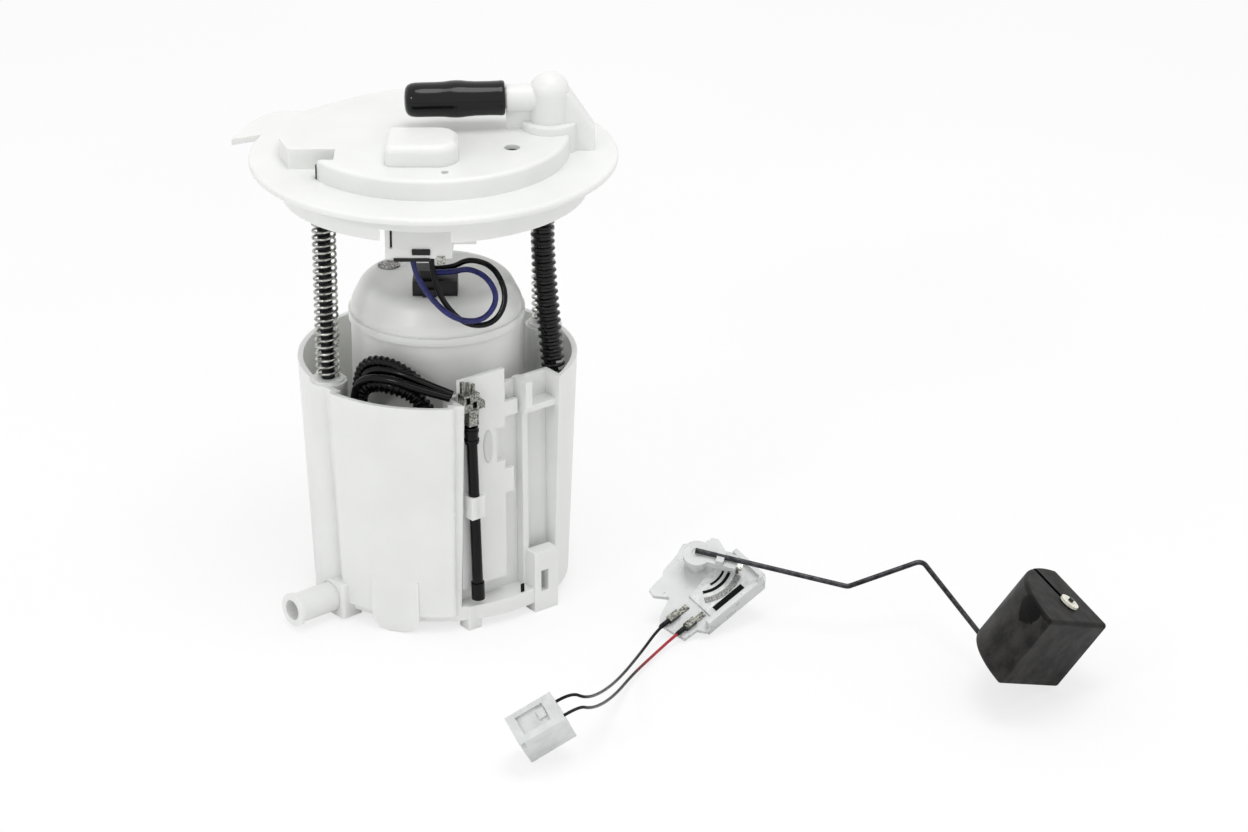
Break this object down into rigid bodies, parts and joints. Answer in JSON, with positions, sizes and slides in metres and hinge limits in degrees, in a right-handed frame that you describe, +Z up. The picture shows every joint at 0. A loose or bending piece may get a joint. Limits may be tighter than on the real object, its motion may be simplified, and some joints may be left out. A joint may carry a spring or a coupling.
{
  "type": "fuel pump module",
  "caption": "In-tank fuel pump module: sprung flange over a reservoir bucket with filter, pump, regulator and jet pump, and a separate float level sender",
  "frame": {"origin": "centre of the round pad under the reservoir bucket, on the floor that the module stands on", "axes": "Z up along the module's axis, out of the tank; X to the right as seen from the front, towards the float of the level sender that lies beside the bucket; the outlet and the pump plug face the front, -Y"},
  "size_m": [0.3295, 0.2383, 0.208],
  "materials": {
    "natural_acetal": "translucent white acetal moulding",
    "filter_plastic": "milky white moulded nylon",
    "clip_plastic": "clear-grey moulded plastic",
    "black_plastic": "black glossy cap",
    "plug_plastic": "black moulded plug",
    "spring_steel": "bright spring wire",
    "rod_steel": "drawn steel rod",
    "hose_black": "black corrugated polyamide",
    "wire_black": "black insulated lead",
    "wire_blue": "blue insulated lead",
    "wire_red": "red insulated lead",
    "tinned_contact": "tin plated contact",
    "card_ceramic": "white ceramic card",
    "track_ink": "black resistor ink",
    "resistor_film": "grey carbon film",
    "arm_steel": "dark steel wire",
    "float_foam": "black closed-cell rubber",
    "retainer_white": "pale retainer",
    "sender_plug_grey": "grey-white plug",
    "pump_steel": "zinc plated steel shell",
    "filter_paper": "pleated filter paper",
    "ferrite": "dark ferrite",
    "copper_winding": "copper and steel armature",
    "carbon": "carbon brush",
    "seal_rubber": "nitrile rubber",
    "pump_casting": "die-cast aluminium",
    "phenolic": "brown phenolic impeller",
    "mesh_nylon": "woven nylon strainer",
    "sheath_black": "black heat-shrink sheath"
  },
  "bodies": {
    "module": {"strut_spring_left": "spring_steel", "strut_spring_right": "spring_steel", "corrugated_hose": "hose_black", "pump_plug": "plug_plastic", "filter_housing": "filter_plastic", "filter_cap": "filter_plastic", "filter_seal": "seal_rubber", "filter_element": "filter_paper", "pump_shell": "pump_steel", "pump_inlet_cover": "pump_casting", "pump_channel_plate": "pump_casting", "shaft_bushes": "carbon", "motor_magnets": "ferrite", "carbon_brushes": "carbon", "pump_end_cap": "plug_plastic", "check_spring": "spring_steel", "valve_stop": "clip_plastic", "regulator_can": "pump_steel", "regulator_spring": "spring_steel", "reservoir_bucket": "natural_acetal", "sender_bracket": "natural_acetal", "temperature_sensor": "sheath_black", "sensor_terminal": "tinned_contact", "harness_loom": "sheath_black", "jet_pump": "natural_acetal", "jet_nozzle": "clip_plastic", "inlet_strainer": "mesh_nylon", "sender_housing": "clip_plastic", "resistor_card": "card_ceramic", "resistor_tracks": "track_ink", "resistor_film": "resistor_film", "sender_terminals": "tinned_contact", "sender_plug": "sender_plug_grey", "pump_lead_black": "wire_black", "pump_lead_blue": "wire_blue", "sender_lead_black": "wire_black", "sender_lead_red": "wire_red"},
    "flange": {"flange_cover": "natural_acetal", "connector_shroud": "natural_acetal", "flange_terminals": "tinned_contact", "lead_plug": "plug_plastic", "lock_strip": "plug_plastic", "guide_rod_left": "rod_steel", "guide_rod_right": "rod_steel", "rod_clips": "spring_steel"},
    "outlet_cap": {"outlet_cap": "black_plastic"},
    "rotor": {"armature": "copper_winding", "impeller": "phenolic"},
    "check_valve": {"check_valve": "black_plastic"},
    "regulator_plunger": {"regulator_plunger": "pump_steel"},
    "inlet_valve": {"inlet_valve": "seal_rubber"},
    "float_arm": {"float_arm": "arm_steel", "arm_holder": "clip_plastic", "wiper_contacts": "tinned_contact", "float_retainer": "retainer_white"},
    "float": {"float": "float_foam"}
  },
  "joints": [
    {"name": "flange_slide", "type": "slide", "parent": "module", "child": "flange", "axis": [0, 0, 1], "range_m": [-0.02, 0], "stiffness_N_per_m": 400, "deforming": ["strut_spring_left", "strut_spring_right", "corrugated_hose", "pump_lead_black", "pump_lead_blue"]},
    {"name": "cap_pull", "type": "slide", "parent": "flange", "child": "outlet_cap", "axis": [-0.9976, -0.0698, 0], "range_m": [0, 0.03]},
    {"name": "rotor_spin", "type": "hinge", "parent": "module", "child": "rotor", "pos_m": [0, 0, 0.046], "axis": [0, 0, 1], "continuous": true},
    {"name": "check_valve_lift", "type": "slide", "parent": "module", "child": "check_valve", "axis": [0, 0, 1], "range_m": [0, 0.002], "deforming": ["check_spring"]},
    {"name": "regulator_lift", "type": "slide", "parent": "module", "child": "regulator_plunger", "axis": [0, 0, 1], "range_m": [0, 0.001], "deforming": ["regulator_spring"]},
    {"name": "inlet_valve_lift", "type": "slide", "parent": "module", "child": "inlet_valve", "axis": [0, 0, 1], "range_m": [0, 0.0012]},
    {"name": "arm_swing", "type": "hinge", "parent": "module", "child": "float_arm", "pos_m": [0.1002, -0.0302, 0.016], "axis": [0, -0.5592, 0.829], "range_deg": [-55, 0]},
    {"name": "float_swivel", "type": "hinge", "parent": "float_arm", "child": "float", "pos_m": [0.22767, -0.10082, 0.02435], "axis": [0.5768, 0.015, 0.8167], "continuous": true}
  ]
}
